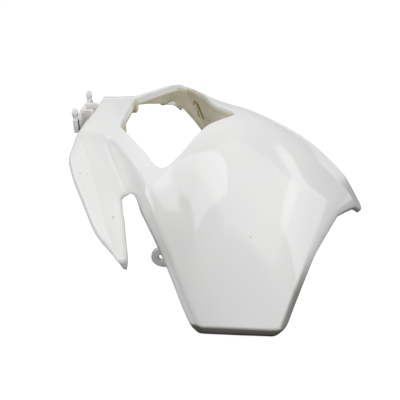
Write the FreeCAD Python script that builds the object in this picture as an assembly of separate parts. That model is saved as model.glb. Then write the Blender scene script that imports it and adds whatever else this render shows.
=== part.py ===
import math
import os

import FreeCAD
import Part

# Headlight cover of a motorbike: one moulded shell, lying face up on the straight
# lower edges of its two side panels. X runs from the chin (-X) to the tail tip (+X),
# Y across, Z up from those edges. Both halves are alike about y = 0.

# Overall form, millimetres
tail_reach = 144.0        # tail tip, from the middle of the lamp opening
chin_reach = 113.0        # front edge of the chin plate
half_width = 148.0        # straight lower edge of a side panel
crest_height = 127.0      # spine above the lower edges, at the opening's point
tail_drop = 93.0          # fall of the spine from there to the tail tip
tail_curve = 1.9          # power of that fall
chin_sag = 0.012          # fall of the spine towards the chin, per millimetre
wall = 2.6                # skin thickness
skirt = 7.0               # depth of the turned down edge
notch_skirt = 8.0         # extra depth of that edge beside the notch
edge_round = 3.0          # rounding along the outer edges

# Lamp opening
opening_point = 19.0      # its point on the spine
opening_half = 90.5       # half its width at the side corners
opening_corner = 39.0     # those corners, ahead of the middle
opening_foot = 83.0       # its straight lower side, behind the chin plate
opening_foot_half = 34.5  # half the length of that side
collar_depth = 8.0        # rim turned into the opening
collar_wall = 2.4
collar_round = 1.6

# Side panels and tail
panel_foot = 6.5          # skin of a panel above its straight lower edge
foot_front = -8.0         # front and rear end of that edge
foot_rear = 70.0
foot_soft = 10.0
front_rise = 1.3          # rise of the panel's foot ahead of it, and fall behind it
rear_fall = 0.5
ridge_round = 14.0        # softness of the spine
spine_blend = 40.0        # run over which the opening's flat sides close to the spine
band_fall = 0.45          # slope of the band outside the opening's lower sides
chin_blend = 25.0         # run over which that band fades into the chin plate
crease_inner = 17.0       # tail creases, from the spine
crease_outer = 49.0
crease_turn = 0.28        # change of slope across a crease at the tail
crease_start = 45.0       # the creases grow from nothing over this run
crease_run = 60.0
crease_soft = 3.0
lip_width = 8.0           # rolled lip along the tail's edge
lip_fall = 0.55
lip_soft = 5.0
lip_start = 68.0          # the lip grows from nothing over this run
lip_run = 30.0

# Wings and the flank between wing and panel
flank_fall = 1.7
flank_soft = 5.0
wing_blend = 7.0          # softness of the valley between flank and wing
wing_root = 145.5         # height of the wing's plane at the spine line
wing_fall = 0.47
wing_flat = 44.0          # level stretch of that plane beside the chin
wing_reach = 156.0        # wing tip
wing_lead = 5.5           # front edge of the wings ahead of the chin
wing_turn = 71.0          # where that edge sweeps back, and how much
wing_sweep = 0.64
scoop = 7.0               # hollow of the wing's face
scoop_start = 11.0        # width of the raised band along the front edge
scoop_run = 18.0
edge_fall = 2.5           # turn down along the wing's rear edge
edge_blend = 8.0          # softness of the wing's bends

# Fixing points
lug_x = -38.8             # middle of the bolt hole, its way running across
lug_y = 86.0
lug_z = 25.7
lug_round = 10.0
lug_hole = 3.5
lug_thick = 4.0
lug_arm = 9.0             # depth of the arm carrying the lug
arm_start = 6.0           # arm behind the hole, and its width there
arm_width = 12.0
arm_foot = 26.0           # the same where it meets the panel
arm_foot_width = 18.0
bar_gap = 9.0             # clear space between chin plate and hook bar
bar_thick = 4.0
bar_half = 26.0
bar_height = 125.0
bar_drop = 13.0
hook_round = 4.0
hook_rise = 5.0
rib_at = 6.0              # ribs tying the bar to the chin plate
rib_thick = 4.0
rib_depth = 9.0
tab_width = 9.0           # locating tabs in the opening's lower side
tab_reach = 4.5
tab_depth = 9.0
tab_side = 4.0            # their distance from the corner of that side


def vec(x, y, z=0.0):
    return FreeCAD.Vector(x, y, z)


def fade(u):
    u = min(max(u, 0.0), 1.0)
    return u * u * (3.0 - 2.0 * u)


def beyond(u, soft):
    # u where positive, nothing where negative, with a rounded bend between
    return (u + math.hypot(u, soft)) / 2.0


def larger(a, b, soft):
    return (a + b + math.hypot(a - b, soft)) / 2.0


def past_line(x, y, start, end):
    # distance to the right of the line from start to end, in plan
    dx, dy = end[0] - start[0], end[1] - start[1]
    return ((x - start[0]) * dy - (y - start[1]) * dx) / math.hypot(dx, dy)


def shoulder(y, half, soft):
    # distance outside a strip of the given half width, rounded off at its sides
    return (math.hypot(y - half, soft) + math.hypot(y + half, soft)) / 2.0 - math.hypot(half, soft)


# Plan corners that several outlines share, on the +Y half
tail_corner = (107.0, 50.0)
rear_corner = (63.0, half_width - 1.5)
front_corner = (-4.0, half_width + 1.5)
ridge_corner = (-46.0, 109.0)
ridge_head = (-90.0, 37.0)
opening_side = (-opening_corner, opening_half)
opening_base = (-opening_foot, opening_foot_half)
notch_top = (-64.0, 91.0)
wing_heel = (-47.0, wing_reach)


def creases(x, y):
    turn = crease_turn * fade((x - crease_start) / crease_run)
    return turn * (shoulder(y, crease_inner, crease_soft) + shoulder(y, crease_outer, crease_soft))


def panel_height(x, y):
    # top face of chin plate, bands, side panels and tail
    side = abs(y)
    run = opening_point - x
    half = beyond(run, spine_blend) * opening_half / (opening_point + opening_corner + collar_depth)
    crest = crest_height - chin_sag * max(run, 0.0)
    crest -= tail_drop * (max(-run, 0.0) / (tail_reach - opening_point)) ** tail_curve
    foot = panel_foot + front_rise * beyond(foot_front - x, foot_soft)
    foot -= rear_fall * beyond(x - foot_rear, foot_soft)
    band = band_fall * beyond(past_line(x, side, opening_side, opening_base), ridge_round)
    band_foot = band_fall * beyond(past_line(x, half_width, opening_side, opening_base), ridge_round)
    slope = (crest - foot - band_foot - creases(x, half_width)) / shoulder(half_width, half, ridge_round)
    tail_edge = past_line(x, side, (tail_reach, 0.0), tail_corner)
    rear_edge = past_line(x, side, tail_corner, rear_corner)
    lip = lip_fall * beyond(lip_width - larger(-tail_edge, -rear_edge, lip_width), lip_soft)
    lip *= fade((x - lip_start) / lip_run)
    band *= fade((x + chin_reach) / chin_blend)
    return crest - slope * shoulder(y, half, ridge_round) - band - creases(x, y) - lip


def wing_front(side):
    # front edge of the wing in plan
    return -chin_reach - wing_lead + wing_sweep * beyond(side - wing_turn, edge_blend)


def wing_height(x, side):
    hollow = scoop * fade((x - wing_front(side) - scoop_start) / scoop_run)
    past = -past_line(x, side, wing_heel, notch_top)
    turned = edge_fall * beyond(past - 2.0, 4.0)
    return wing_root - wing_fall * larger(side, wing_flat, edge_blend) - hollow - turned


def top_height(x, y):
    # panel, then beyond its front ridge a flank falling to the wing's face
    side = abs(y)
    front = past_line(x, side, front_corner, ridge_corner)
    upper = past_line(x, side, ridge_corner, ridge_head)
    chin = past_line(x, side, ridge_head, (-chin_reach, ridge_head[1] - 4.0))
    ridge = -larger(-larger(front, upper, edge_blend), -chin, edge_blend)
    flank = panel_height(x, y) - flank_fall * beyond(ridge, flank_soft)
    return larger(flank, wing_height(x, side), wing_blend)


def hem_height(x, y):
    # lower limit of the turned down edge
    beside = fade((-18.0 - x) / 25.0) * fade((x + 90.0) / 30.0)
    return top_height(x, y) - skirt - notch_skirt * beside


def collar_height(x, y):
    return panel_height(x, y) - collar_depth


def skin(height, depth):
    # smooth face lying the given depth under a height function, measured square to it
    x0, x1 = -chin_reach - 18.0, tail_reach + 12.0
    y1 = wing_reach + 12.0
    across, along = 84, 66
    rows = []
    for i in range(along + 1):
        x = x0 + (x1 - x0) * i / along
        row = []
        for j in range(across + 1):
            y = -y1 + 2.0 * y1 * j / across
            dx = height(x + 0.5, y) - height(x - 0.5, y)
            dy = height(x, y + 0.5) - height(x, y - 0.5)
            size = math.sqrt(1.0 + dx * dx + dy * dy)
            row.append(vec(x + depth * dx / size, y + depth * dy / size, height(x, y) - depth / size))
        rows.append(row)
    face = Part.BSplineSurface()
    face.interpolate(rows)
    return face.toShape()


def under(face):
    return face.extrude(vec(0.0, 0.0, -420.0))


def both(half):
    return half + [(x, -y, r) for x, y, r in reversed(half) if abs(y) > 0.01]


def outline(corners):
    # closed wire of straight lines with a tangent arc of its own radius at each corner
    count = len(corners)
    ends = []
    for i in range(count):
        before, here, after = corners[i - 1], corners[i], corners[(i + 1) % count]
        at = vec(here[0], here[1])
        back = (vec(before[0], before[1]) - at).normalize()
        ahead = (vec(after[0], after[1]) - at).normalize()
        half_turn = math.acos(max(-1.0, min(1.0, back.dot(ahead)))) / 2.0
        reach = here[2] / math.tan(half_turn)
        middle = (back + ahead).normalize()
        mid = at + middle * (here[2] / math.sin(half_turn) - here[2])
        ends.append((at + back * reach, mid, at + ahead * reach))
    edges = []
    for i in range(count):
        start, mid, end = ends[i]
        edges.append(Part.Arc(start, mid, end).toShape())
        follow = ends[(i + 1) % count][0]
        if end.distanceToPoint(follow) > 0.001:
            edges.append(Part.makeLine(end, follow))
    return Part.Wire(edges)


def inset(corners, depth):
    # the same outline moved inwards by the depth
    count = len(corners)
    moved = []
    for i in range(count):
        before, here, after = corners[i - 1], corners[i], corners[(i + 1) % count]
        a = vec(here[0] - before[0], here[1] - before[1]).normalize()
        b = vec(after[0] - here[0], after[1] - here[1]).normalize()
        turn = a.x * b.y - a.y * b.x
        na, nb = vec(-a.y, a.x), vec(-b.y, b.x)
        shift = (na + nb) * (depth / (1.0 + na.dot(nb)))
        radius = here[2] - depth if turn > 0.0 else here[2] + depth
        moved.append((here[0] + shift.x, here[1] + shift.y, max(radius, 0.8)))
    return moved


def column(corners):
    wire = outline(corners)
    wire.translate(vec(0.0, 0.0, -20.0))
    return Part.Face(wire).extrude(vec(0.0, 0.0, 240.0))


def upper_edges(block):
    # edges between the skin and the upright walls
    found = []
    for edge in block.Edges:
        faces = block.ancestorsOfType(edge, Part.Face)
        if len(faces) == 2 and sum(isinstance(f.Surface, Part.BSplineSurface) for f in faces) == 1:
            found.append(edge)
    return found


def upright(x0, x1, y0, y1, z0, z1):
    return Part.makeBox(x1 - x0, y1 - y0, z1 - z0, vec(x0, y0, z0))


# Outlines in plan, counter-clockwise seen from above
cover_plan = both([
    (tail_reach, 0.0, 5.0),
    tail_corner + (14.0,),
    (85.0, 89.0, 60.0),
    rear_corner + (12.0,),
    front_corner + (9.0,),
    (-34.0, 122.5, 50.0),
    (-53.0, 104.0, 20.0),
    (-61.5, 91.5, 3.2),
    (-68.5, 89.0, 3.2),
    (-59.5, 126.0, 60.0),
    (-52.0, wing_reach - 6.0, 3.6),
    (-56.0, wing_reach, 3.6),
    (-79.0, 134.5, 60.0),
    (-108.5, 88.5, 30.0),
    (-chin_reach - wing_lead, wing_turn - 3.0, 25.0),
    (-chin_reach - wing_lead, 46.0, 60.0),
    (-chin_reach, 20.0, 60.0),
])
opening_plan = both([
    (opening_point + 2.0, 0.0, 7.0),
    (-3.0, 24.0, 40.0),
    (-22.0, 71.0, 60.0),
    (-36.0, opening_half + 2.5, 8.0),
    (-47.0, opening_half - 0.5, 6.0),
    (-opening_foot, opening_foot_half, 5.0),
])

# Shell: skin and turned down edge in one
block = column(cover_plan).common(under(skin(top_height, 0.0))).Solids[0]
block = block.makeFillet(edge_round, upper_edges(block))
block = block.cut(column(opening_plan))
rim = [e for e in upper_edges(block) if -opening_foot - 1.0 < e.CenterOfMass.x < opening_point + 3.0
       and abs(e.CenterOfMass.y) < opening_half + 1.0 and e.CenterOfMass.z > 100.0]
block = block.makeFillet(collar_round, rim)
lining = under(skin(top_height, wall))
collar = column(inset(opening_plan, -collar_wall))
hollow = column(inset(cover_plan, wall)).common(lining).cut(collar)
shell = block.cut(under(skin(hem_height, 0.0))).cut(hollow)
shell = shell.cut(collar.common(under(skin(collar_height, 0.0))))

# Fixings of the +Y half: bolt lug under the panel, hook and rib of the chin bar, locating tab
inner_skin = under(skin(top_height, wall / 2.0))
lug_back = lug_y - lug_thick / 2.0
arm_end = lug_x + arm_start + arm_width
arm = Part.makePolygon([vec(lug_x + arm_start, lug_back, lug_z), vec(arm_end, lug_back, lug_z),
                        vec(lug_x + arm_foot + arm_foot_width, half_width, lug_z),
                        vec(lug_x + arm_foot, half_width, lug_z), vec(lug_x + arm_start, lug_back, lug_z)])
lug = Part.Face(arm).extrude(vec(0.0, 0.0, lug_arm))
ear = Part.makeCylinder(lug_round, lug_thick, vec(lug_x, lug_back, lug_z), vec(0.0, 1.0, 0.0))
root = upright(lug_x, arm_end, lug_back, lug_back + lug_thick, lug_z - lug_round, lug_z + lug_arm)
lug = lug.fuse([ear, root]).common(inner_skin)
lug = lug.cut(Part.makeCylinder(lug_hole, lug_thick, vec(lug_x, lug_back, lug_z), vec(0.0, 1.0, 0.0)))

bar_front = -chin_reach - bar_gap - bar_thick
hook_at = bar_half - hook_round
hook_top = vec(bar_front, hook_at, bar_height + hook_rise)
neck = hook_round / 1.5
hook = upright(bar_front, bar_front + bar_thick, hook_at - neck, hook_at + neck,
               bar_height - bar_drop, hook_top.z)
hook = hook.fuse(Part.makeCylinder(hook_round, bar_thick, hook_top, vec(1.0, 0.0, 0.0)))
rib = upright(bar_front + bar_thick / 2.0, -chin_reach + wall / 2.0, rib_at, rib_at + rib_thick,
              bar_height + wall - rib_depth, bar_height + wall)
tab_out = opening_foot_half - tab_side
tab_top = panel_height(-opening_foot, tab_out) - wall
tab = upright(-opening_foot - collar_wall / 2.0, -opening_foot + tab_reach, tab_out - tab_width, tab_out,
              tab_top - tab_depth, tab_top)
half_set = [lug, hook, rib, tab]
bar = upright(bar_front, bar_front + bar_thick, -bar_half, bar_half, bar_height - bar_drop, bar_height)
fixings = [bar] + half_set + [f.mirror(vec(0.0, 0.0), vec(0.0, 1.0, 0.0)) for f in half_set]

# Floor trimmed level with the panels' lower edges, origin under the middle of the overall box
cover = shell.fuse(fixings).removeSplitter()
cover = cover.cut(upright(-400.0, 400.0, -400.0, 400.0, -80.0, 0.0)).Solids[0]
reach = cover.optimalBoundingBox(False)
cover.translate(vec(-(reach.XMin + reach.XMax) / 2.0, 0.0, 0.0))

os.makedirs("parts", exist_ok=True)
cover.exportStep("parts/headlight_cover.step")
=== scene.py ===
import math

import bmesh
import bpy
from mathutils import Matrix, Vector


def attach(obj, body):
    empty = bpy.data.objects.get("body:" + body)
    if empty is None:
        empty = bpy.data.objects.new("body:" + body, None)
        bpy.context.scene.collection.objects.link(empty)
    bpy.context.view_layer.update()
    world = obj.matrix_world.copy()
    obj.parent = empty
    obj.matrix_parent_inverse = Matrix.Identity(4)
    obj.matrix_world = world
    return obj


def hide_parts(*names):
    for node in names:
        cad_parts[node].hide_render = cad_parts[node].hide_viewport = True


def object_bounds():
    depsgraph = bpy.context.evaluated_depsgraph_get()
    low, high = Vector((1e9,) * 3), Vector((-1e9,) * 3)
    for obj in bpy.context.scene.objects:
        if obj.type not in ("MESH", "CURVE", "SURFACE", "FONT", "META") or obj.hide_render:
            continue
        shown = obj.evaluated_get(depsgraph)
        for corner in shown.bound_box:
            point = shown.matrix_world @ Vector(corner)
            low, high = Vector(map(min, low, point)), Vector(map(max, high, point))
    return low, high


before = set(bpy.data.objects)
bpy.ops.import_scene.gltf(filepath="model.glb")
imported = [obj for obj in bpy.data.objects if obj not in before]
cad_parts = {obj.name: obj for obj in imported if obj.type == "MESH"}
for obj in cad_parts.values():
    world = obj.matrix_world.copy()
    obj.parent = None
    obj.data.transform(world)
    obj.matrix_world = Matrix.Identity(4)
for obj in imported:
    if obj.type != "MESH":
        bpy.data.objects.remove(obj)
cadLow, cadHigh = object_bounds()
mm = 0.001

# Driving sizes of the moulding, millimetres, x from the middle of the lamp opening
cover = {
    "tailReach": 144.0, "chinReach": 113.0, "halfWidth": 148.0, "crestHeight": 127.0,
    "tailDrop": 89.5, "tailCurve": 1.7, "chinSag": 0.012,
    "wall": 2.6, "edgeRound": 3.0, "frontRound": 1.0, "innerRound": 0.4,
    "tuck": 2.2, "wingTuck": 0.9, "tuckStart": -45.0, "tuckRun": 30.0,
    "notchFlare": 3.2, "wingFlare": 0.35,
    "wingRear": (106.0, 10.0), "wingRearEnd": (5.0, 8.0), "wingBand": (6.0, 3.0),
    "frontStart": (-58.0, 14.0), "frontEnd": (4.0, 10.0), "frontBand": (7.0, 3.0),
    "skirt": 7.0, "notchSkirt": 8.0, "deepRear": (-18.0, 25.0), "deepFront": (-60.0, 12.0),
    "notchTrim": 3.5, "trimRear": (-48.0, 10.0), "trimFront": (-90.0, 20.0),
    "openingPoint": 19.0, "openingHalf": 90.5, "openingCorner": 39.0, "openingFoot": 83.0,
    "openingFootHalf": 34.5, "rimInset": 2.3, "collarDepth": 8.0, "collarWall": 2.4, "collarRound": 1.6,
    "panelFoot": 6.5, "footFront": -8.0, "footRear": 70.0, "footSoft": 10.0,
    "frontRise": 1.3, "rearFall": 0.5, "ridgeRound": 14.0, "spineBlend": 40.0,
    "panelBulge": 6.0, "bulgeEnd": 100.0, "bulgeRun": 60.0,
    "foldHalf": 20.0, "foldRear": 27.5, "foldInset": 8.0, "foldFall": 0.3, "foldSoft": 1.5,
    "creaseInner": 17.0, "creaseOuter": 49.0, "creaseTurn": 0.42, "creaseStart": 40.0,
    "creaseRun": 60.0, "creaseSoft": 0.8,
    "lipWidth": 8.0, "lipFall": 0.55, "lipSoft": 3.0, "lipStart": 68.0, "lipRun": 30.0,
    "flankFall": 2.2, "flankSoft": 1.2, "flankEnd": 12.0, "flankRun": 26.0,
    "wingBlend": 4.0, "wingFall": 0.14, "wingReach": 157.0, "wingLead": 5.5, "wingTurn": 71.0,
    "wingInset": 3.0, "scoop": 7.0, "scoopRun": 18.0, "scoopHead": 42.0,
    "edgeFall": 2.5, "edgeSoft": 2.0, "edgeBlend": 8.0,
    "gridStep": 1.6, "gridClear": 0.6, "gridFront": 10.0, "gridRear": 3.0, "crispSteps": (-2.4, -0.8, 0.8, 2.4),
    "arcStep": 9.0, "lineStep": 3.0, "roundSteps": 6, "hemSteps": (0.35, 0.7, 1.0),
    "leastEdge": 0.3, "leastInside": 0.15,
    "netMerge": 0.3, "axisNear": 0.06, "axisMerge": 0.2, "mirrorMerge": 0.05, "lastMerge": 0.01, "holeSides": 6,
}
fixing = {
    "lugAt": (-38.8, 86.0, 25.7), "lugRound": 10.0, "lugHole": 3.5, "lugThick": 4.0,
    "armDepth": 9.0, "armStart": 6.0, "armWidth": 12.0, "armFoot": 26.0, "armFootWidth": 18.0,
    "barGap": 9.0, "barThick": 4.0, "barHalf": 26.0, "barHeight": 125.0, "barDrop": 13.0,
    "hookRound": 4.0, "hookRise": 5.0, "ribAt": 6.0, "ribThick": 4.0, "ribDepth": 9.0,
    "tabWidth": 9.0, "tabReach": 4.5, "tabDepth": 9.0, "tabSide": 4.0, "neckShare": 1.5,
    "softEdge": 0.8, "earEdge": 0.7, "barEdge": 1.2, "knobEdge": 1.3, "tabEdge": 0.9, "sharpAngle": 40.0,
    "armLap": 0.3, "earLap": 0.4, "hookLap": 0.2,
}

# Plan corners on the +Y half
tailCorner = (112.0, 50.0)
rearTurn = (90.5, 89.0)
rearCorner = (66.0, cover["halfWidth"] - 1.5)
frontCorner = (1.5, cover["halfWidth"] + 1.5)
ridgeFoot = (3.0, cover["halfWidth"] + 1.5)
ridgeCorner = (-52.4, 101.3)
ridgeHead = (-89.5, 42.0)
openingSide = (-cover["openingCorner"], cover["openingHalf"])
openingBase = (-cover["openingFoot"], cover["openingFootHalf"])
notchTop = (-62.5, 99.5)
wingHeel = (-48.5, cover["wingReach"])
bandHead = (-109.5, 53.0)
bandTail = (-70.5, 133.5)
foldFront = (-cover["chinReach"], cover["foldHalf"])
foldBack = (-cover["openingFoot"], cover["foldRear"])
frameShift = cadLow.x / mm + cover["chinReach"] + fixing["barGap"] + fixing["barThick"]


def fade(u):
    u = min(max(u, 0.0), 1.0)
    return u * u * (3.0 - 2.0 * u)


def risePast(u, span):  # from 0 to 1 over a span given as its start and run
    return fade((u - span[0]) / span[1])


def fallPast(u, span):  # the same towards smaller values
    return fade((span[0] - u) / span[1])


def dip(u):  # crisp start, soft end
    u = min(max(u, 0.0), 1.0)
    return u * (2.0 - u)


def beyond(u, soft):  # u where positive, nothing where negative, bend rounded
    return (u + math.hypot(u, soft)) / 2.0


def larger(a, b, soft):
    return (a + b + math.hypot(a - b, soft)) / 2.0


def pastLine(x, y, start, end):  # distance to the right of a line, in plan
    dx, dy = end[0] - start[0], end[1] - start[1]
    return ((x - start[0]) * dy - (y - start[1]) * dx) / math.hypot(dx, dy)


def shoulder(y, half, soft):  # distance outside a strip, rounded at its sides
    return (math.hypot(y - half, soft) + math.hypot(y + half, soft)) / 2.0 - math.hypot(half, soft)


def creaseFall(x, y):
    c = cover
    turn = c["creaseTurn"] * fade((x - c["creaseStart"]) / c["creaseRun"])
    inner = shoulder(y, c["creaseInner"], c["creaseSoft"])
    return turn * (inner + shoulder(y, c["creaseOuter"], c["creaseSoft"]))


def foldDrop(x, side):  # outside the chin plate and the opening's lower sides
    c = cover
    chin = pastLine(x, side, foldBack, foldFront)
    beside = pastLine(x, side, openingSide, openingBase) + c["foldInset"]
    return c["foldFall"] * beyond(-larger(-chin, -beside, c["foldSoft"]), c["foldSoft"])


def panelHeight(x, y):
    c = cover
    side = abs(y)
    run = c["openingPoint"] - x
    half = beyond(run, c["spineBlend"]) * c["openingHalf"]
    half /= c["openingPoint"] + c["openingCorner"] + c["collarDepth"]
    crest = c["crestHeight"] - c["chinSag"] * max(run, 0.0)
    crest -= c["tailDrop"] * (max(-run, 0.0) / (c["tailReach"] - c["openingPoint"])) ** c["tailCurve"]
    foot = c["panelFoot"] + c["frontRise"] * beyond(c["footFront"] - x, c["footSoft"])
    foot -= c["rearFall"] * beyond(x - c["footRear"], c["footSoft"])
    drop = crest - foot - foldDrop(x, c["halfWidth"]) - creaseFall(x, c["halfWidth"])
    slope = drop / shoulder(c["halfWidth"], half, c["ridgeRound"])
    share = min(max((side - half) / (c["halfWidth"] - half), 0.0), 1.0) if half < c["halfWidth"] else 0.0
    bulge = c["panelBulge"] * math.sin(math.pi * share) * fade((c["bulgeEnd"] - x) / c["bulgeRun"])
    tailEdge = pastLine(x, side, (c["tailReach"], 0.0), tailCorner)
    rearEdge = pastLine(x, side, tailCorner, rearCorner)
    lip = c["lipFall"] * beyond(c["lipWidth"] - larger(-tailEdge, -rearEdge, c["lipWidth"]), c["lipSoft"])
    lip *= fade((x - c["lipStart"]) / c["lipRun"])
    fall = slope * shoulder(y, half, c["ridgeRound"])
    return crest + bulge - fall - foldDrop(x, side) - creaseFall(x, y) - lip


def wingHeight(x, side):
    c = cover
    plane = c["crestHeight"] - c["chinSag"] * (c["openingPoint"] - x)
    plane -= c["foldFall"] * beyond(pastLine(x, side, foldBack, foldFront), c["foldSoft"])
    plane -= c["wingFall"] * beyond(side - c["wingTurn"], c["edgeBlend"])
    plane -= c["edgeFall"] * beyond(pastLine(x, side, notchTop, wingHeel) - c["edgeSoft"], c["edgeSoft"])
    behind = dip(pastLine(x, side, bandHead, bandTail) / c["scoopRun"])
    return plane - c["scoop"] * behind * dip((side - c["scoopHead"]) / c["scoopRun"])


def topHeight(x, y):  # panel, then a flank past its ridge that falls to the wing
    c = cover
    side = abs(y)
    front = pastLine(x, side, ridgeFoot, ridgeCorner)
    upper = pastLine(x, side, ridgeCorner, ridgeHead)
    chin = pastLine(x, side, ridgeHead, (-c["chinReach"], ridgeHead[1] + 2.0))
    ridge = -larger(-larger(front, upper, c["edgeBlend"]), -chin, c["edgeBlend"])
    fall = c["flankFall"] * fade((c["flankEnd"] - x) / c["flankRun"])
    flank = panelHeight(x, y) - fall * beyond(ridge, c["flankSoft"])
    wing = wingHeight(x, side) - c["wingInset"] * beyond(-ridge - c["edgeBlend"] / 2.0, c["edgeSoft"])
    return larger(flank, wing, c["wingBlend"])


def hemHeight(x, y):
    c = cover
    deep = fallPast(x, c["deepRear"]) * risePast(x, c["deepFront"])
    trim = fallPast(x, c["trimRear"]) * risePast(x, c["trimFront"])
    return max(topHeight(x, y) - c["skirt"] - c["notchSkirt"] * deep + c["notchTrim"] * trim, 0.0)


def collarHeight(x, y):
    return panelHeight(x, y) - cover["collarDepth"]


def liningHeight(x, y):  # inner face, one wall under the skin measured square to it
    dx = topHeight(x + 0.5, y) - topHeight(x - 0.5, y)
    dy = topHeight(x, y + 0.5) - topHeight(x, y - 0.5)
    return topHeight(x, y) - cover["wall"] * math.sqrt(1.0 + dx * dx + dy * dy)


coverPlan = [
    (cover["tailReach"], 0.0, 5.0), tailCorner + (14.0,), rearTurn + (60.0,), rearCorner + (15.0,),
    frontCorner + (10.0,), (-53.0, 102.5, 20.0), (-60.5, 97.5, 3.2), (-67.5, 96.0, 3.2),
    (-58.5, 128.0, 60.0), (-52.0, cover["wingReach"] - 6.0, 3.6), (-56.0, cover["wingReach"], 3.6),
    (-79.0, 136.0, 60.0), (-108.5, 88.5, 30.0),
    (-cover["chinReach"] - cover["wingLead"], cover["wingTurn"] - 3.0, 25.0),
    (-cover["chinReach"] - cover["wingLead"], 46.0, 60.0), (-cover["chinReach"], 20.0, 60.0),
]
openingPlan = [
    (cover["openingPoint"], 0.0, 7.0), (-5.5, 23.2, 40.0), (-23.5, 68.8, 60.0),
    (-33.0, cover["openingHalf"] - cover["rimInset"], 7.5),
    (-41.8, cover["openingHalf"] - cover["rimInset"], 8.5),
    (cover["rimInset"] - cover["openingFoot"], cover["openingFootHalf"] - 2.0, 5.0),
]


def cornerArcs(corners, inset):
    # tangent point, centre and turn of each rounded corner, the line moved in by inset
    flip = [(x, -y, r) for x, y, r in corners]
    ring = [flip[1]] + corners + [flip[-1]]
    arcs = []
    for before, here, after in zip(ring, ring[1:], ring[2:]):
        at = Vector(here[:2])
        a = (at - Vector(before[:2])).normalized()
        b = (Vector(after[:2]) - at).normalized()
        na, nb = Vector((-a.y, a.x)), Vector((-b.y, b.x))
        turn = math.atan2(a.cross(b), a.dot(b))
        radius = max(here[2] - math.copysign(inset, turn), 0.02)
        at = at + (na + nb) * (inset / (1.0 + na.dot(nb)))
        start = at - a * (radius * math.tan(abs(turn) / 2.0))
        centre = start + na * math.copysign(radius, turn)
        arcs.append((start, centre, turn))
    return arcs


def chain(corners, inset):
    # points of half an outline, from the axis to the axis, as many for every inset
    plain = cornerArcs(corners, 0.0)
    moved = cornerArcs(corners, inset)
    points = []
    for i, (start, centre, turn) in enumerate(moved):
        steps = 2 * math.ceil(math.degrees(abs(turn)) / cover["arcStep"] / 2.0)
        first = steps // 2 if i == 0 else 0
        for k in range(first, steps + 1):
            points.append(centre + Matrix.Rotation(turn * k / steps, 2) @ (start - centre))
        end = plain[i][1] + Matrix.Rotation(turn, 2) @ (plain[i][0] - plain[i][1])
        last = i + 1 == len(moved)
        follow = Vector((end.x, 0.0)) if last else plain[i + 1][0]
        target = Vector((points[-1].x, 0.0)) if last else moved[i + 1][0]
        pieces = max(1, round((follow - end).length / cover["lineStep"]))
        tail = points[-1]
        for k in range(1, pieces + (1 if last else 0)):
            points.append(tail.lerp(target, k / pieces))
    points[0].y = 0.0
    return points


def frontShare(p):  # 1 along the panel's front edge, 0 elsewhere
    c = cover
    apart = abs(pastLine(p.x, p.y, ridgeCorner, ridgeFoot))
    return risePast(p.x, c["frontStart"]) * fallPast(p.x, c["frontEnd"]) * fallPast(apart, c["frontBand"])


def roundShare(p):  # that edge is crisper than the others
    return 1.0 - frontShare(p) * (1.0 - cover["frontRound"] / cover["edgeRound"])


def tuckShare(p):
    # how far the hem is drawn in: less at wings and chin, outwards at the two sides of the notch
    c = cover
    least = c["wingTuck"] / c["tuck"]
    share = least + (1.0 - least) * fade((p.x - c["tuckStart"]) / c["tuckRun"])
    rear = abs(pastLine(p.x, p.y, notchTop, wingHeel))
    end = c["wingReach"] - c["wingRearEnd"][0], c["wingRearEnd"][1]
    wing = risePast(p.y, c["wingRear"]) * fallPast(p.y, end) * fallPast(rear, c["wingBand"])
    flare = max(frontShare(p), c["wingFlare"] * wing)
    return share * (1.0 - flare) - flare * c["notchFlare"] / c["tuck"]


def drawnIn(corners, inset, tuck):
    plain, drawn = chain(corners, inset), chain(corners, inset + tuck)
    return [p.lerp(q, tuckShare(p)) for p, q in zip(plain, drawn)]


def edgeRows(corners, side, round_, wall, foot, tuck):
    # rows of points from the skin over the rounded edge, down its outside and up its inside
    c = cover
    rows = []
    plain = chain(corners, 0.0)
    shares = [roundShare(p) for p in plain]
    for k in range(c["roundSteps"], -1, -1):
        angle = math.radians(90.0 * k / c["roundSteps"])
        inset, drop = round_ * (1.0 - math.cos(angle)), round_ * (1.0 - math.sin(angle))
        line = [p.lerp(q, share) for p, q, share in zip(plain, chain(corners, side * inset), shares)]
        rows.append([(p.x, p.y, topHeight(p.x, p.y) - drop * share) for p, share in zip(line, shares)])
    outer = rows[-1]
    hem = [min(foot(x, y), z - c["leastEdge"]) for x, y, z in outer]
    for share in c["hemSteps"]:
        line = drawnIn(corners, 0.0, side * tuck * share)
        rows.append([(p.x, p.y, z + (h - z) * share) for p, (_, _, z), h in zip(line, outer, hem)])
    rows.append([(p.x, p.y, h) for p, h in zip(drawnIn(corners, side * wall, side * tuck), hem)])
    small = c["innerRound"]
    upper = [(p.x, p.y, max(liningHeight(p.x, p.y) - small, h + c["leastInside"]))
             for p, h in zip(chain(corners, side * wall), hem)]
    rows.append([tuple((a + b) / 2.0 for a, b in zip(p, q)) for p, q in zip(rows[-1], upper)])
    rows.append(upper)
    rows.append([(p.x, p.y, liningHeight(p.x, p.y)) for p in chain(corners, side * (wall + small))])
    return rows


def rollRows(bm, rows, slotOf):
    # a line of vertices on the first row, then extruded from row to row
    line = [bm.verts.new(p) for p in rows[0]]
    for a, b in zip(line, line[1:]):
        bm.edges.new((a, b))
    first = line
    for strip, row in enumerate(rows[1:]):
        edges = [bm.edges.get(pair) for pair in zip(line, line[1:])]
        made = bmesh.ops.extrude_edge_only(bm, edges=edges)["geom"]
        fresh = {v for v in made if isinstance(v, bmesh.types.BMVert)}
        line = [next(e.other_vert(v) for e in v.link_edges if e.other_vert(v) in fresh) for v in line]
        for v, p in zip(line, row):
            v.co = p
        for f in made:
            if isinstance(f, bmesh.types.BMFace):
                f.material_index = slotOf(strip, f.calc_center_median())
    return first, line


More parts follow.
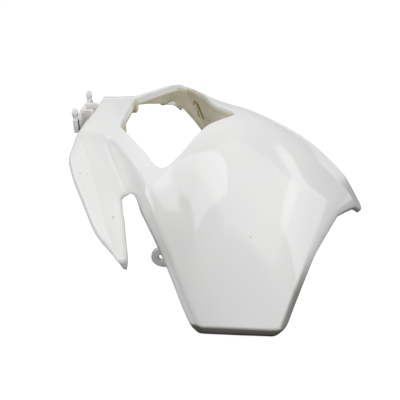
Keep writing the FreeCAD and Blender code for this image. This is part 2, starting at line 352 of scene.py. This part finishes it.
def gridLines(low, high, extra=()):
    count = int((high - low) / cover["gridStep"])
    lines = [low + (high - low) * k / count for k in range(1, count)]
    keep = [v for v in lines if all(abs(v - e) > cover["gridClear"] for e in extra)]
    return sorted(keep + list(extra))


def cutLines():
    # planes of the fine net: along x, along y, and beside each crisp line
    c = cover
    soft = c["creaseSoft"]
    beside = (-soft, -soft / 2, 0, soft / 2, soft)
    creases = [y + s for y in (c["creaseInner"], c["creaseOuter"]) for s in beside]
    for x in gridLines(-c["chinReach"] - c["gridFront"], c["tailReach"] - c["gridRear"]):
        yield (x, 0, 0), (1, 0, 0)
    for y in gridLines(0.0, c["wingReach"], creases):
        yield (0, y, 0), (0, 1, 0)
    crisp = [(ridgeFoot, ridgeCorner), (ridgeCorner, ridgeHead), (bandHead, bandTail),
             (foldBack, foldFront)]
    for start, end in crisp:
        along = (Vector(end) - Vector(start)).normalized()
        across = Vector((along.y, -along.x, 0.0))
        for step in c["crispSteps"]:
            yield Vector(start + (0.0,)) + across * step, across


def fillSkin(bm, outer, hole, height, slot):
    # one face between edge and opening, cut into a fine net and lifted to its height
    for v in outer + hole:
        v.co.z = 0.0
    face = bm.faces.new(outer + hole[::-1])
    face.material_index = slot
    geom = [face] + list(face.edges) + list(face.verts)
    for at, across in cutLines():
        geom = bmesh.ops.bisect_plane(bm, geom=geom, dist=1e-4, plane_co=at, plane_no=across)["geom"]
    verts = [v for v in geom if isinstance(v, bmesh.types.BMVert)]
    bmesh.ops.remove_doubles(bm, verts=verts, dist=cover["netMerge"])
    for v in verts:
        if v.is_valid:
            v.co.z = height(v.co.x, v.co.y)


def finishMesh(bm, name, mirrored, sharp=180.0):
    # other half, seams closed, then into place in the row frame, in metres
    c = cover
    if mirrored:
        axis = [v for v in bm.verts if abs(v.co.y) < c["axisNear"]]
        bmesh.ops.remove_doubles(bm, verts=axis, dist=c["axisMerge"])
        half = bm.verts[:] + bm.edges[:] + bm.faces[:]
        bmesh.ops.mirror(bm, geom=half, axis="Y", merge_dist=c["mirrorMerge"])
    bmesh.ops.remove_doubles(bm, verts=bm.verts[:], dist=c["lastMerge"])
    bmesh.ops.holes_fill(bm, edges=[e for e in bm.edges if e.is_boundary], sides=c["holeSides"])
    bmesh.ops.recalc_face_normals(bm, faces=bm.faces[:])
    bmesh.ops.translate(bm, verts=bm.verts[:], vec=(frameShift, 0.0, 0.0))
    bmesh.ops.scale(bm, verts=bm.verts[:], vec=(mm, mm, mm))
    for f in bm.faces:
        f.smooth = True
    mesh = bpy.data.meshes.new(name)
    bm.to_mesh(mesh)
    bm.free()
    if sharp < 180.0:
        mesh.set_sharp_from_angle(angle=math.radians(sharp))
    piece = bpy.data.objects.new(name, mesh)
    bpy.context.scene.collection.objects.link(piece)
    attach(piece, "root")
    print(name, len(mesh.polygons), "faces")
    return piece


# Shell: skin, turned down edge and collar in one closed mesh
paint = {
    "hemStrip": 9, "wingStrip": 5, "wingStart": 106.0, "wingEnd": 7.0, "wingNear": 4.0,
    "collarStrip": 7, "lipStrip": 8, "lipEnd": -47.0,
}


def edgeSlot(strip, at):  # white down to the hem, bare further up on the wing's rear edge
    onWing = paint["wingStart"] < at.y < cover["wingReach"] - paint["wingEnd"]
    wingRear = onWing and abs(pastLine(at.x, at.y, notchTop, wingHeel)) < paint["wingNear"]
    return 1 if strip >= (paint["wingStrip"] if wingRear else paint["hemStrip"]) else 0


def collarSlot(strip, at):  # on the lower sides of the opening the paint goes over the rim
    return 1 if strip >= (paint["lipStrip"] if at.x < paint["lipEnd"] else paint["collarStrip"]) else 0


def makeShell():
    c = cover
    bm = bmesh.new()
    edge = edgeRows(coverPlan, 1.0, c["edgeRound"], c["wall"], hemHeight, c["tuck"])
    rim = edgeRows(openingPlan, -1.0, c["collarRound"], c["collarWall"], collarHeight, 0.0)
    edgeOut, edgeIn = rollRows(bm, edge, edgeSlot)
    rimOut, rimIn = rollRows(bm, rim, collarSlot)
    fillSkin(bm, edgeOut, rimOut, topHeight, 0)
    fillSkin(bm, edgeIn, rimIn, liningHeight, 1)
    return finishMesh(bm, "coverShell", True)


def softEdges(bm, verts, width):
    edges = {e for v in verts for e in v.link_edges if e.is_manifold and e.calc_face_angle() > 0.7}
    bmesh.ops.bevel(bm, geom=list(edges), offset=width, segments=3, profile=0.5, affect="EDGES",
                    material=-1, clamp_overlap=True)


def block(bm, low, high, width):
    low, high = Vector(low), Vector(high)
    place = Matrix.Translation((low + high) / 2.0) @ Matrix.Diagonal((*(high - low), 1.0))
    verts = bmesh.ops.create_cube(bm, size=1.0, matrix=place)["verts"]
    softEdges(bm, verts, width)


def intoWall(x0, y0, x1, y1, z):
    # point on a level line where it has gone half into the skin
    low, high = 0.0, 1.0
    for _ in range(30):
        mid = (low + high) / 2.0
        x, y = x0 + (x1 - x0) * mid, y0 + (y1 - y0) * mid
        inside = (liningHeight(x, y) + topHeight(x, y)) / 2.0 > z
        low, high = (mid, high) if inside else (low, mid)
    return Vector((x, y, z))


def makeLugs():
    f = fixing
    x, y, z = f["lugAt"]
    bm = bmesh.new()
    # ear: a ring round the hole, drawn out to a flat root on the arm's side
    reach = f["armStart"] + f["armWidth"]
    outer = bmesh.ops.create_circle(bm, segments=48, radius=f["lugRound"])["verts"]
    for v in outer:
        if v.co.x > 0.01:
            top = f["armDepth"] if v.co.y > 0 else f["lugRound"]
            v.co *= min(reach / v.co.x, top / max(abs(v.co.y), 0.01))
    bmesh.ops.create_circle(bm, segments=48, radius=f["lugHole"])
    ring = bmesh.ops.bridge_loops(bm, edges=bm.edges[:])["faces"]
    raised = bmesh.ops.extrude_face_region(bm, geom=ring)["geom"]
    moved = [v for v in raised if isinstance(v, bmesh.types.BMVert)]
    bmesh.ops.translate(bm, verts=moved, vec=(0.0, 0.0, f["lugThick"]))
    bmesh.ops.recalc_face_normals(bm, faces=bm.faces[:])
    softEdges(bm, bm.verts[:], f["earEdge"])
    bmesh.ops.rotate(bm, verts=bm.verts[:], matrix=Matrix.Rotation(math.radians(90.0), 3, "X"))
    bmesh.ops.translate(bm, verts=bm.verts[:], vec=(x, y + f["lugThick"] / 2.0, z))
    # arm: from the root out into the panel's wall
    arm = bmesh.ops.create_cube(bm, size=1.0)["verts"]
    back = y - f["lugThick"] / 2.0 + f["earLap"]
    for v in arm:
        level = z + (f["armDepth"] - f["armLap"] if v.co.z > 0 else f["armLap"])
        near = x + f["armStart"] + (f["armWidth"] if v.co.x > 0 else 0.0)
        far = x + f["armFoot"] + (f["armFootWidth"] if v.co.x > 0 else 0.0)
        v.co = (near, back, level) if v.co.y < 0 else intoWall(near, back, far, cover["halfWidth"], level)
    softEdges(bm, arm, f["softEdge"])
    return finishMesh(bm, "boltLugs", True, f["sharpAngle"])


def makeChinBar():
    f = fixing
    bm = bmesh.new()
    front = -cover["chinReach"] - f["barGap"] - f["barThick"]
    back = front + f["barThick"]
    foot, head = f["barHeight"] - f["barDrop"], f["barHeight"]
    block(bm, (front, -f["barHalf"], foot), (back, f["barHalf"], head), f["barEdge"])
    neck = f["hookRound"] / f["neckShare"]
    lying = Matrix.Rotation(math.radians(90.0), 4, "Y")
    for side in (-1.0, 1.0):
        hookAt = side * (f["barHalf"] - f["hookRound"])
        block(bm, (front, hookAt - neck, foot + f["hookLap"]), (back, hookAt + neck, head + f["hookRise"]),
              f["barEdge"])
        place = Matrix.Translation((front + f["barThick"] / 2.0, hookAt, head + f["hookRise"]))
        knob = bmesh.ops.create_cone(bm, cap_ends=True, segments=40, radius1=f["hookRound"],
                                     radius2=f["hookRound"], depth=f["barThick"], matrix=place @ lying)
        softEdges(bm, knob["verts"], f["knobEdge"])
        rib = sorted((side * f["ribAt"], side * (f["ribAt"] + f["ribThick"])))
        top = head + cover["wall"]
        block(bm, (front + f["barThick"] / 2.0, rib[0], top - f["ribDepth"]),
              (-cover["chinReach"] + cover["wall"] / 2.0, rib[1], top), f["softEdge"])
    return finishMesh(bm, "chinBar", False, f["sharpAngle"])


def makeTabs():
    f = fixing
    bm = bmesh.new()
    foot = -cover["openingFoot"]
    out = cover["openingFootHalf"] - f["tabSide"]
    top = panelHeight(foot, out) - cover["wall"]
    block(bm, (foot - cover["collarWall"] / 2.0, out - f["tabWidth"], top - f["tabDepth"]),
          (foot + f["tabReach"], out, top), f["tabEdge"])
    return finishMesh(bm, "locatingTabs", True, f["sharpAngle"])


shell = makeShell()
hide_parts("headlight_cover")
lugs = makeLugs()
chinBar = makeChinBar()
tabs = makeTabs()


# Finishes
def addNode(tree, kind, **settings):
    node = tree.nodes.new(kind)
    for key, value in settings.items():
        setattr(node, key, value)
    return node


def feed(tree, socket, source):  # a link or a plain value
    if isinstance(source, bpy.types.NodeSocket):
        tree.links.new(source, socket)
    else:
        socket.default_value = source


def maths(tree, operation, a, b=0.0):
    node = addNode(tree, "ShaderNodeMath", operation=operation)
    feed(tree, node.inputs[0], a)
    feed(tree, node.inputs[1], b)
    return node.outputs[0]


def vectors(tree, operation, a, b=(0.0, 0.0, 0.0)):
    node = addNode(tree, "ShaderNodeVectorMath", operation=operation)
    feed(tree, node.inputs[0], a)
    feed(tree, node.inputs[1], b)
    return node


def ranged(tree, value, low, high, start, end):
    node = addNode(tree, "ShaderNodeMapRange", interpolation_type="SMOOTHSTEP")
    names = ("Value", "From Min", "From Max", "To Min", "To Max")
    for name, amount in zip(names, (value, low, high, start, end)):
        feed(tree, node.inputs[name], amount)
    return node.outputs["Result"]


def spanned(tree, value, span, start, end):  # the same over a span in millimetres
    return ranged(tree, value, span[0] * mm, span[1] * mm, start, end)


def noise(tree, where, scale, detail=2.0):
    node = addNode(tree, "ShaderNodeTexNoise")
    feed(tree, node.inputs["Vector"], where)
    feed(tree, node.inputs["Scale"], scale)
    node.inputs["Detail"].default_value = detail
    return node


def blendColour(tree, share, a, b):
    node = addNode(tree, "ShaderNodeMix", data_type="RGBA")
    feed(tree, node.inputs["Factor"], share)
    feed(tree, node.inputs[6], a)
    feed(tree, node.inputs[7], b)
    return node.outputs[2]


def newGroup(name, inputs, outputs):
    tree = bpy.data.node_groups.new(name, "ShaderNodeTree")
    for label, kind in inputs:
        tree.interface.new_socket(label, in_out="INPUT", socket_type=kind)
    for label in outputs:
        tree.interface.new_socket(label, in_out="OUTPUT", socket_type="NodeSocketFloat")
    return tree, tree.nodes.new("NodeGroupInput").outputs, tree.nodes.new("NodeGroupOutput").inputs


def mouldGrain():
    # fine peel of the surface and slow drifts of tone
    inputs = [("Vector", "NodeSocketVector"), ("Peel", "NodeSocketFloat"), ("Drift", "NodeSocketFloat")]
    tree, given, out = newGroup("mouldGrain", inputs, ["Height", "Tone"])
    peel = noise(tree, given["Vector"], given["Peel"], 3.0)
    drift = noise(tree, given["Vector"], given["Drift"], 4.0)
    tree.links.new(peel.outputs["Fac"], out["Height"])
    tree.links.new(ranged(tree, drift.outputs["Fac"], 0.3, 0.7, 0.0, 1.0), out["Tone"])
    return tree


def strokeMask():
    # soft line from one point to another, for smears, scuffs and specks
    inputs = [(label, "NodeSocketVector") for label in ("Vector", "From", "To")]
    tree, given, out = newGroup("strokeMask", inputs + [("Width", "NodeSocketFloat")], ["Mask"])
    way = vectors(tree, "SUBTRACT", given["To"], given["From"]).outputs[0]
    here = vectors(tree, "SUBTRACT", given["Vector"], given["From"]).outputs[0]
    along = vectors(tree, "DOT_PRODUCT", here, way).outputs["Value"]
    size = maths(tree, "ADD", vectors(tree, "DOT_PRODUCT", way, way).outputs["Value"], 1e-9)
    share = addNode(tree, "ShaderNodeClamp")
    feed(tree, share.inputs["Value"], maths(tree, "DIVIDE", along, size))
    foot = addNode(tree, "ShaderNodeVectorMath", operation="SCALE")
    feed(tree, foot.inputs[0], way)
    feed(tree, foot.inputs["Scale"], share.outputs[0])
    away = vectors(tree, "DISTANCE", here, foot.outputs[0]).outputs["Value"]
    half = maths(tree, "MULTIPLY", given["Width"], 0.5)
    tree.links.new(ranged(tree, away, half, given["Width"], 1.0, 0.0), out["Mask"])
    return tree


grainGroup = mouldGrain()
strokeGroup = strokeMask()


def useGroup(tree, group, **values):
    node = addNode(tree, "ShaderNodeGroup", node_tree=group)
    for name, value in values.items():
        feed(tree, node.inputs[name], value)
    return node.outputs


def rowPlace(x, y, z):  # a point of the moulding in the row frame, metres
    return ((x + frameShift) * mm, y * mm, z * mm)


def strokes(tree, where, lines):
    # the strongest of several strokes, each (from, to, width in millimetres, strength)
    total = 0.0
    for start, end, width, strength in lines:
        parts = {"Vector": where, "From": rowPlace(*start), "To": rowPlace(*end), "Width": width * mm}
        mask = maths(tree, "MULTIPLY", useGroup(tree, strokeGroup, **parts)["Mask"], strength)
        total = maths(tree, "MAXIMUM", mask, total)
    return total


def newMaterial(name, specular):
    mat = bpy.data.materials.new(name)
    mat.use_nodes = True
    tree = mat.node_tree
    bsdf = tree.nodes["Principled BSDF"]
    bsdf.inputs["Specular IOR Level"].default_value = specular
    return mat, tree, bsdf, addNode(tree, "ShaderNodeTexCoord").outputs["Object"]


def peelBump(tree, bsdf, height, strength, depth):
    bump = addNode(tree, "ShaderNodeBump")
    bump.inputs["Strength"].default_value = strength
    bump.inputs["Distance"].default_value = depth
    tree.links.new(height, bump.inputs["Height"])
    tree.links.new(bump.outputs["Normal"], bsdf.inputs["Normal"])


gloss = {
    "white": (0.83, 0.83, 0.82, 1.0), "shade": (0.81, 0.815, 0.805, 1.0), "blush": (0.80, 0.66, 0.63, 1.0),
    "dirt": (0.16, 0.14, 0.12, 1.0), "blushEdge": (-119.5, -118.5, -117.0, -110.0), "blushShare": 0.3,
    # painted shade: the dark tone that the foot band and the rear edge are blended to
    "paintedShade": (0.13, 0.122, 0.102, 1.0), "footTop": (7.0, 9.8), "footSide": (130.0, 136.0),
    "rearEdge": (-5.0, -2.2), "rearSide": (85.0, 125.0), "rearShare": 0.75,
    "peel": 420.0, "drift": 22.0, "rough": (0.05, 0.08), "specular": 0.5, "bump": 0.012, "depth": 0.0004,
    "marks": [
        ((-103.4, -84.7, 105.3), (-103.2, -85.0, 105.2), 0.8, 0.45),
        ((-97.3, -85.9, 105.5), (-97.2, -86.1, 105.4), 0.7, 0.35),
        ((-69.2, -119.3, 88.9), (-68.6, -120.8, 88.2), 0.9, 0.3),
        ((36.2, -95.9, 60.4), (36.5, -96.1, 60.2), 1.0, 0.3),
    ],
}


def paintedShadeMask(tree, split):
    # painted shade: a soft dark band on the panels' foot, standing in for the shadowed turned-under hem, and
    # along their rear edge, standing in for the dim rounded edge
    g = gloss
    side = maths(tree, "ABSOLUTE", split.outputs["Y"])
    low = spanned(tree, split.outputs["Z"], g["footTop"], 1.0, 0.0)
    foot = maths(tree, "MULTIPLY", low, spanned(tree, side, g["footSide"], 0.0, 1.0))
    out = Vector((rearCorner[1] - rearTurn[1], rearTurn[0] - rearCorner[0])).normalized()
    corner = Vector(rowPlace(*rearCorner, 0.0)[:2])
    far = maths(tree, "ADD", maths(tree, "MULTIPLY", split.outputs["X"], out.x),
                maths(tree, "MULTIPLY", side, out.y))
    edge = [out.dot(corner) + d * mm for d in g["rearEdge"]]
    rear = maths(tree, "MULTIPLY", ranged(tree, far, edge[0], edge[1], 0.0, g["rearShare"]),
                 spanned(tree, side, g["rearSide"], 0.0, 1.0))
    return maths(tree, "MAXIMUM", foot, rear)


def glossWhite():
    g = gloss
    mat, tree, bsdf, where = newMaterial("glossWhite", g["specular"])
    grain = useGroup(tree, grainGroup, Vector=where, Peel=g["peel"], Drift=g["drift"])
    colour = blendColour(tree, grain["Tone"], g["white"], g["shade"])
    split = addNode(tree, "ShaderNodeSeparateXYZ")
    tree.links.new(where, split.inputs[0])
    front = [rowPlace(x, 0.0, 0.0)[0] for x in g["blushEdge"]]
    rise = ranged(tree, split.outputs["X"], front[0], front[1], 0.0, g["blushShare"])
    blush = maths(tree, "MULTIPLY", rise, ranged(tree, split.outputs["X"], front[2], front[3], 1.0, 0.0))
    colour = blendColour(tree, blush, colour, g["blush"])
    colour = blendColour(tree, strokes(tree, where, g["marks"]), colour, g["dirt"])
    # painted shade: the foot band and the rear edge darkened in the paint's own colour
    colour = blendColour(tree, paintedShadeMask(tree, split), colour, g["paintedShade"])
    tree.links.new(colour, bsdf.inputs["Base Color"])
    rough = ranged(tree, grain["Tone"], 0.0, 1.0, g["rough"][0], g["rough"][1])
    tree.links.new(rough, bsdf.inputs["Roughness"])
    peelBump(tree, bsdf, grain["Height"], g["bump"], g["depth"])
    return mat


raw = {
    "cream": (0.68, 0.64, 0.51, 1.0), "olive": (0.58, 0.54, 0.40, 1.0), "smear": (0.25, 0.155, 0.012, 1.0),
    "peel": 900.0, "drift": 34.0, "rough": (0.42, 0.6), "specular": 0.4, "bump": 0.22, "depth": 0.0005,
    "wander": 260.0, "wanderBy": 0.002,
    "drips": [
        ((-34.0, 0.0, 88.0), (-32.3, 0.0, 94.6), 1.3, 0.8),
        ((-32.3, 0.0, 94.6), (-29.1, 0.0, 91.5), 1.6, 0.95),
        ((-29.1, 0.0, 91.5), (-26.6, 0.0, 81.6), 2.0, 1.0),
        ((-26.6, 0.0, 81.6), (-23.2, 0.0, 69.3), 1.7, 0.95),
        ((-30.1, 0.0, 79.0), (-28.7, 0.0, 70.3), 1.4, 0.75),
        ((-15.7, 0.0, 70.0), (-15.4, 0.0, 69.8), 1.3, 0.8),
    ],
    "dripSide": (50.0, 60.0),
}


def rawInside():
    r = raw
    mat, tree, bsdf, where = newMaterial("rawInside", r["specular"])
    grain = useGroup(tree, grainGroup, Vector=where, Peel=r["peel"], Drift=r["drift"])
    colour = blendColour(tree, grain["Tone"], r["cream"], r["olive"])
    waver = noise(tree, where, r["wander"]).outputs["Color"]
    sway = vectors(tree, "SUBTRACT", waver, (0.5, 0.5, 0.5)).outputs[0]
    drawn = addNode(tree, "ShaderNodeVectorMath", operation="SCALE")
    tree.links.new(sway, drawn.inputs[0])
    drawn.inputs["Scale"].default_value = r["wanderBy"]
    smeared = vectors(tree, "ADD", where, drawn.outputs[0]).outputs[0]
    flat = vectors(tree, "MULTIPLY", smeared, (1.0, 0.0, 1.0)).outputs[0]
    split = addNode(tree, "ShaderNodeSeparateXYZ")
    tree.links.new(where, split.inputs[0])
    farSide = spanned(tree, split.outputs["Y"], r["dripSide"], 0.0, 1.0)
    drips = maths(tree, "MULTIPLY", strokes(tree, flat, r["drips"]), farSide)
    colour = blendColour(tree, drips, colour, r["smear"])
    tree.links.new(colour, bsdf.inputs["Base Color"])
    rough = ranged(tree, grain["Tone"], 0.0, 1.0, r["rough"][0], r["rough"][1])
    tree.links.new(rough, bsdf.inputs["Roughness"])
    peelBump(tree, bsdf, grain["Height"], r["bump"], r["depth"])
    return mat


whitePaint = glossWhite()
bareInside = rawInside()
for finish in (whitePaint, bareInside):
    shell.data.materials.append(finish)
chinBar.data.materials.append(whitePaint)
lugs.data.materials.append(whitePaint)
tabs.data.materials.append(bareInside)
print("finishes done")

# Floor, light and camera
studio = {
    "sky": 0.42, "horizon": 0.22, "skyRise": (-0.1, 0.9), "backGlow": 0.35, "glowRise": (0.3, 0.9),
    "floorHalf": 4.0, "floorSeen": 1.02, "floorBounce": 0.10, "floorGrey": 0.25,
    "floorBehind": 0.9, "behindRise": (0.16, 0.35),
    "lens": 46.8, "sensor": 36.0, "cameraAt": (0.0312, -0.4382, 0.3116), "cameraTurn": (57.6, 0.0, 6.02),
    "lamps": [
        ("rightBox", 2.5, (0.75, 0.55), (0.84, -0.10, 0.72), (0.0, 0.0, 0.06)),
        ("leftBox", 1.7, (0.7, 0.5), (-0.84, 0.0, 0.77), (0.0, 0.0, 0.06)),
        ("nearRight", 0.17, (0.24, 0.24), (0.14, -0.14, 0.36), (0.0, -0.07, 0.09)),
        ("nearTail", 0.06, (0.24, 0.24), (0.24, -0.22, 0.30), (0.0, -0.07, 0.09)),
        ("nearLeft", 0.18, (0.24, 0.24), (-0.06, -0.25, 0.33), (0.0, -0.07, 0.09)),
        ("nearBack", 0.05, (0.24, 0.24), (-0.20, 0.10, 0.30), (0.0, -0.07, 0.09)),
        ("frontLow", 2.2, (0.6, 0.3), (-0.60, -0.83, 0.36), (-0.02, -0.06, 0.06)),
        ("underFill", 0.085, (0.12, 0.12), (-0.015, 0.03, 0.01), (-0.015, 0.031, 0.2)),
    ],
}


def paleFloor():
    # bright where the camera sees it, dim to the light that bounces from it
    mat = bpy.data.materials.new("paleFloor")
    mat.use_nodes = True
    tree = mat.node_tree
    tree.nodes.clear()
    out = addNode(tree, "ShaderNodeOutputMaterial")
    mix = addNode(tree, "ShaderNodeMixShader")
    path = addNode(tree, "ShaderNodeLightPath")
    dim = addNode(tree, "ShaderNodeBsdfDiffuse")
    dim.inputs["Color"].default_value = [studio["floorBounce"]] * 3 + [1.0]
    both = addNode(tree, "ShaderNodeAddShader")
    glow = addNode(tree, "ShaderNodeEmission")
    glow.inputs["Strength"].default_value = studio["floorSeen"] - studio["floorGrey"] / 2.0
    grey = addNode(tree, "ShaderNodeBsdfDiffuse")
    grey.inputs["Color"].default_value = [studio["floorGrey"]] * 3 + [1.0]
    tree.links.new(glow.outputs[0], both.inputs[0])
    tree.links.new(grey.outputs[0], both.inputs[1])
    split = addNode(tree, "ShaderNodeSeparateXYZ")
    tree.links.new(addNode(tree, "ShaderNodeTexCoord").outputs["Object"], split.inputs[0])
    behind = addNode(tree, "ShaderNodeEmission")
    rise = ranged(tree, split.outputs["Y"], *studio["behindRise"], 0.0, studio["floorBehind"])
    tree.links.new(rise, behind.inputs["Strength"])
    unseen = addNode(tree, "ShaderNodeAddShader")
    tree.links.new(dim.outputs[0], unseen.inputs[0])
    tree.links.new(behind.outputs[0], unseen.inputs[1])
    tree.links.new(path.outputs["Is Camera Ray"], mix.inputs[0])
    tree.links.new(unseen.outputs[0], mix.inputs[1])
    tree.links.new(both.outputs[0], mix.inputs[2])
    tree.links.new(mix.outputs[0], out.inputs[0])
    return mat


bm = bmesh.new()
bmesh.ops.create_grid(bm, x_segments=1, y_segments=1, size=studio["floorHalf"])
floorMesh = bpy.data.meshes.new("floor")
bm.to_mesh(floorMesh)
bm.free()
floor = bpy.data.objects.new("floor", floorMesh)
bpy.context.scene.collection.objects.link(floor)
floor.data.materials.append(paleFloor())


def studioWorld():
    world = bpy.data.worlds.new("studio")
    bpy.context.scene.world = world
    world.use_nodes = True
    tree = world.node_tree
    coord = addNode(tree, "ShaderNodeTexCoord")
    split = addNode(tree, "ShaderNodeSeparateXYZ")
    tree.links.new(coord.outputs["Generated"], split.inputs[0])
    light = ranged(tree, split.outputs["Z"], *studio["skyRise"], studio["horizon"], studio["sky"])
    glow = ranged(tree, split.outputs["Y"], *studio["glowRise"], 0.0, studio["backGlow"])
    tree.links.new(maths(tree, "ADD", light, glow), tree.nodes["Background"].inputs["Strength"])
    tree.nodes["Background"].inputs["Color"].default_value = (1.0, 1.0, 1.0, 1.0)


studioWorld()


def softbox(name, power, size, place, aim):
    light = bpy.data.lights.new(name, "AREA")
    light.energy = power
    light.shape = "RECTANGLE"
    light.size, light.size_y = size
    lamp = bpy.data.objects.new(name, light)
    lamp.location = place
    lamp.rotation_euler = (Vector(aim) - Vector(place)).to_track_quat("-Z", "Y").to_euler()
    bpy.context.scene.collection.objects.link(lamp)
    return lamp


for lamp in studio["lamps"]:
    softbox(*lamp)

view = bpy.data.cameras.new("camera")
view.lens = studio["lens"]
view.sensor_width = studio["sensor"]
camera = bpy.data.objects.new("camera", view)
camera.location = Vector(studio["cameraAt"]) + Vector((frameShift * mm, 0.0, 0.0))
camera.rotation_euler = [math.radians(angle) for angle in studio["cameraTurn"]]
bpy.context.scene.collection.objects.link(camera)
bpy.context.scene.camera = camera
bpy.context.scene.view_settings.view_transform = "Standard"
print("studio done")
